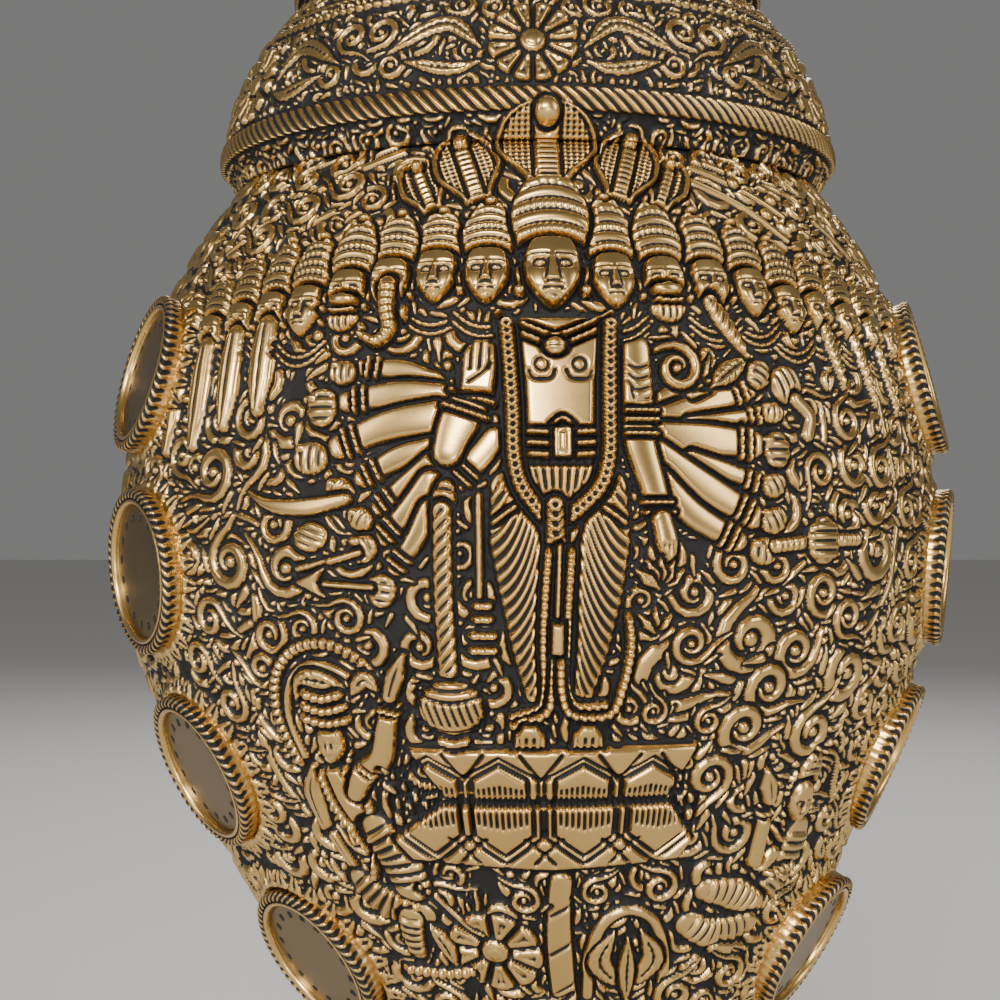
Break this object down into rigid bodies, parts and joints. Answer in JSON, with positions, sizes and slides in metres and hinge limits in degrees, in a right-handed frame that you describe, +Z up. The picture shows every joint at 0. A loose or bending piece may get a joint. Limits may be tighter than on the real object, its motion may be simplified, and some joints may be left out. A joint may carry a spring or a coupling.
{
  "type": "brass conch ornament on stand",
  "caption": "Large hollow cast-brass conch with deep carved figure relief, round medallions, stepped spire and a three-legged ring stand.",
  "frame": {"origin": "on the floor under the spire's axis, between the three feet", "axes": "+Z up along the spire, -Y is the figured front, +X to the right of a viewer facing the front"},
  "size_m": [0.2095, 0.2086, 0.4752],
  "materials": {
    "carved_brass": "chased relief, polished high spots over black patina in the ground",
    "disc_brass": "smooth satin, browned",
    "plain_brass": "turned and polished, lightly aged",
    "stand_brass": "cast and filed, aged in the corners",
    "felt": "dark green wool felt"
  },
  "bodies": {
    "stand": {"felt_pads": "felt", "stand_foot_1": "stand_brass", "stand_foot_2": "stand_brass", "stand_foot_3": "stand_brass", "stand_leg_1": "stand_brass", "stand_leg_2": "stand_brass", "stand_leg_3": "stand_brass", "stand_screws": "stand_brass", "stand_seat_ring": "stand_brass", "stand_tie_ring": "stand_brass"},
    "conch": {"aperture_lip": "plain_brass", "apex_cap": "plain_brass", "blowing_pipe": "plain_brass", "body_back": "carved_brass", "body_front": "carved_brass", "canal": "carved_brass", "inner_lip": "plain_brass", "medallion_bezel_left_1": "carved_brass", "medallion_bezel_left_2": "carved_brass", "medallion_bezel_left_3": "carved_brass", "medallion_bezel_left_4": "carved_brass", "medallion_bezel_left_5": "carved_brass", "medallion_bezel_right_1": "carved_brass", "medallion_bezel_right_2": "carved_brass", "medallion_bezel_right_3": "carved_brass", "medallion_bezel_right_4": "carved_brass", "medallion_bezel_right_5": "carved_brass", "medallion_disc_left_1": "disc_brass", "medallion_disc_left_2": "disc_brass", "medallion_disc_left_3": "disc_brass", "medallion_disc_left_4": "disc_brass", "medallion_disc_left_5": "disc_brass", "medallion_disc_right_1": "disc_brass", "medallion_disc_right_2": "disc_brass", "medallion_disc_right_3": "disc_brass", "medallion_disc_right_4": "disc_brass", "medallion_disc_right_5": "disc_brass", "spire_whorl_1": "carved_brass", "spire_whorl_2": "carved_brass", "spire_whorl_3": "carved_brass", "spire_whorl_4": "carved_brass", "spire_whorl_5": "carved_brass", "tip_knob": "plain_brass"}
  },
  "joints": [
    {"name": "conch_lift", "type": "slide", "parent": "stand", "child": "conch", "axis": [0, 0, 1], "range_m": [0, 0.15]}
  ]
}
